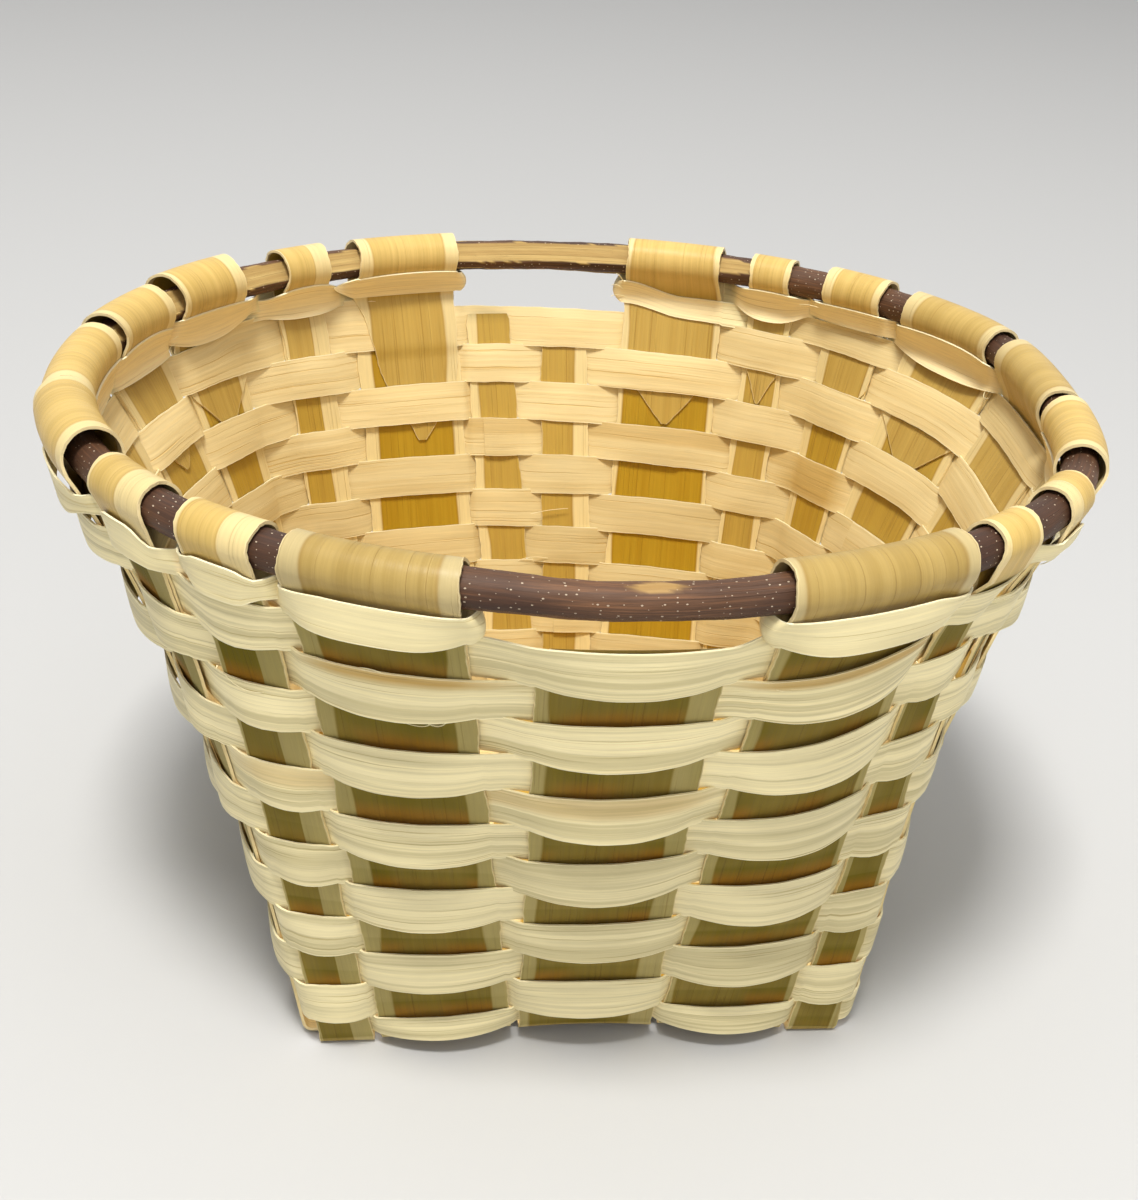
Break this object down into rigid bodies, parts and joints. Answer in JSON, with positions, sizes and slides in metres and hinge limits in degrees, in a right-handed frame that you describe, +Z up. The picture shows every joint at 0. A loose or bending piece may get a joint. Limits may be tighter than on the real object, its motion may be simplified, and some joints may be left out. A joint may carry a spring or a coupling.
{
  "type": "wooden basket",
  "caption": "Round open basket woven from split-wood strips, with a square arched base, walls flaring out to a bent bark-covered rod at the rim, and hand gaps in the weave.",
  "frame": {"origin": "middle of the basket seen from above, at the level of its four feet", "axes": "+Z up; the hand gap with the bark-covered rod faces -Y, the wider way of the rim runs along X, left is -X"},
  "size_m": [0.5432, 0.4992, 0.3255],
  "materials": {
    "rod_bark": "thin brown-purple bark with pale specks, bare pale wood where the rod is split at the back",
    "stake_wood": "split heartwood, golden, with paler sapwood edges, low sheen",
    "binder_wood": "thin split wood, pale, matt",
    "weaver_wood": "thin split sapwood, cream with grey-green streaks, matt"
  },
  "bodies": {
    "root": {"rim_hoop": "rod_bark", "splint_lengthwise_1": "stake_wood", "splint_lengthwise_2": "stake_wood", "splint_lengthwise_3": "stake_wood", "splint_lengthwise_4": "stake_wood", "splint_lengthwise_5": "stake_wood", "splint_crosswise_1": "stake_wood", "splint_crosswise_2": "stake_wood", "splint_crosswise_3": "stake_wood", "splint_crosswise_4": "stake_wood", "splint_crosswise_5": "stake_wood", "binder_left": "binder_wood", "binder_right": "binder_wood", "weaver_1": "weaver_wood", "weaver_2": "weaver_wood", "weaver_3": "weaver_wood", "weaver_4": "weaver_wood", "weaver_5": "weaver_wood", "weaver_6": "weaver_wood", "weaver_7": "weaver_wood", "weaver_8": "weaver_wood", "weaver_9": "weaver_wood"}
  },
  "joints": []
}
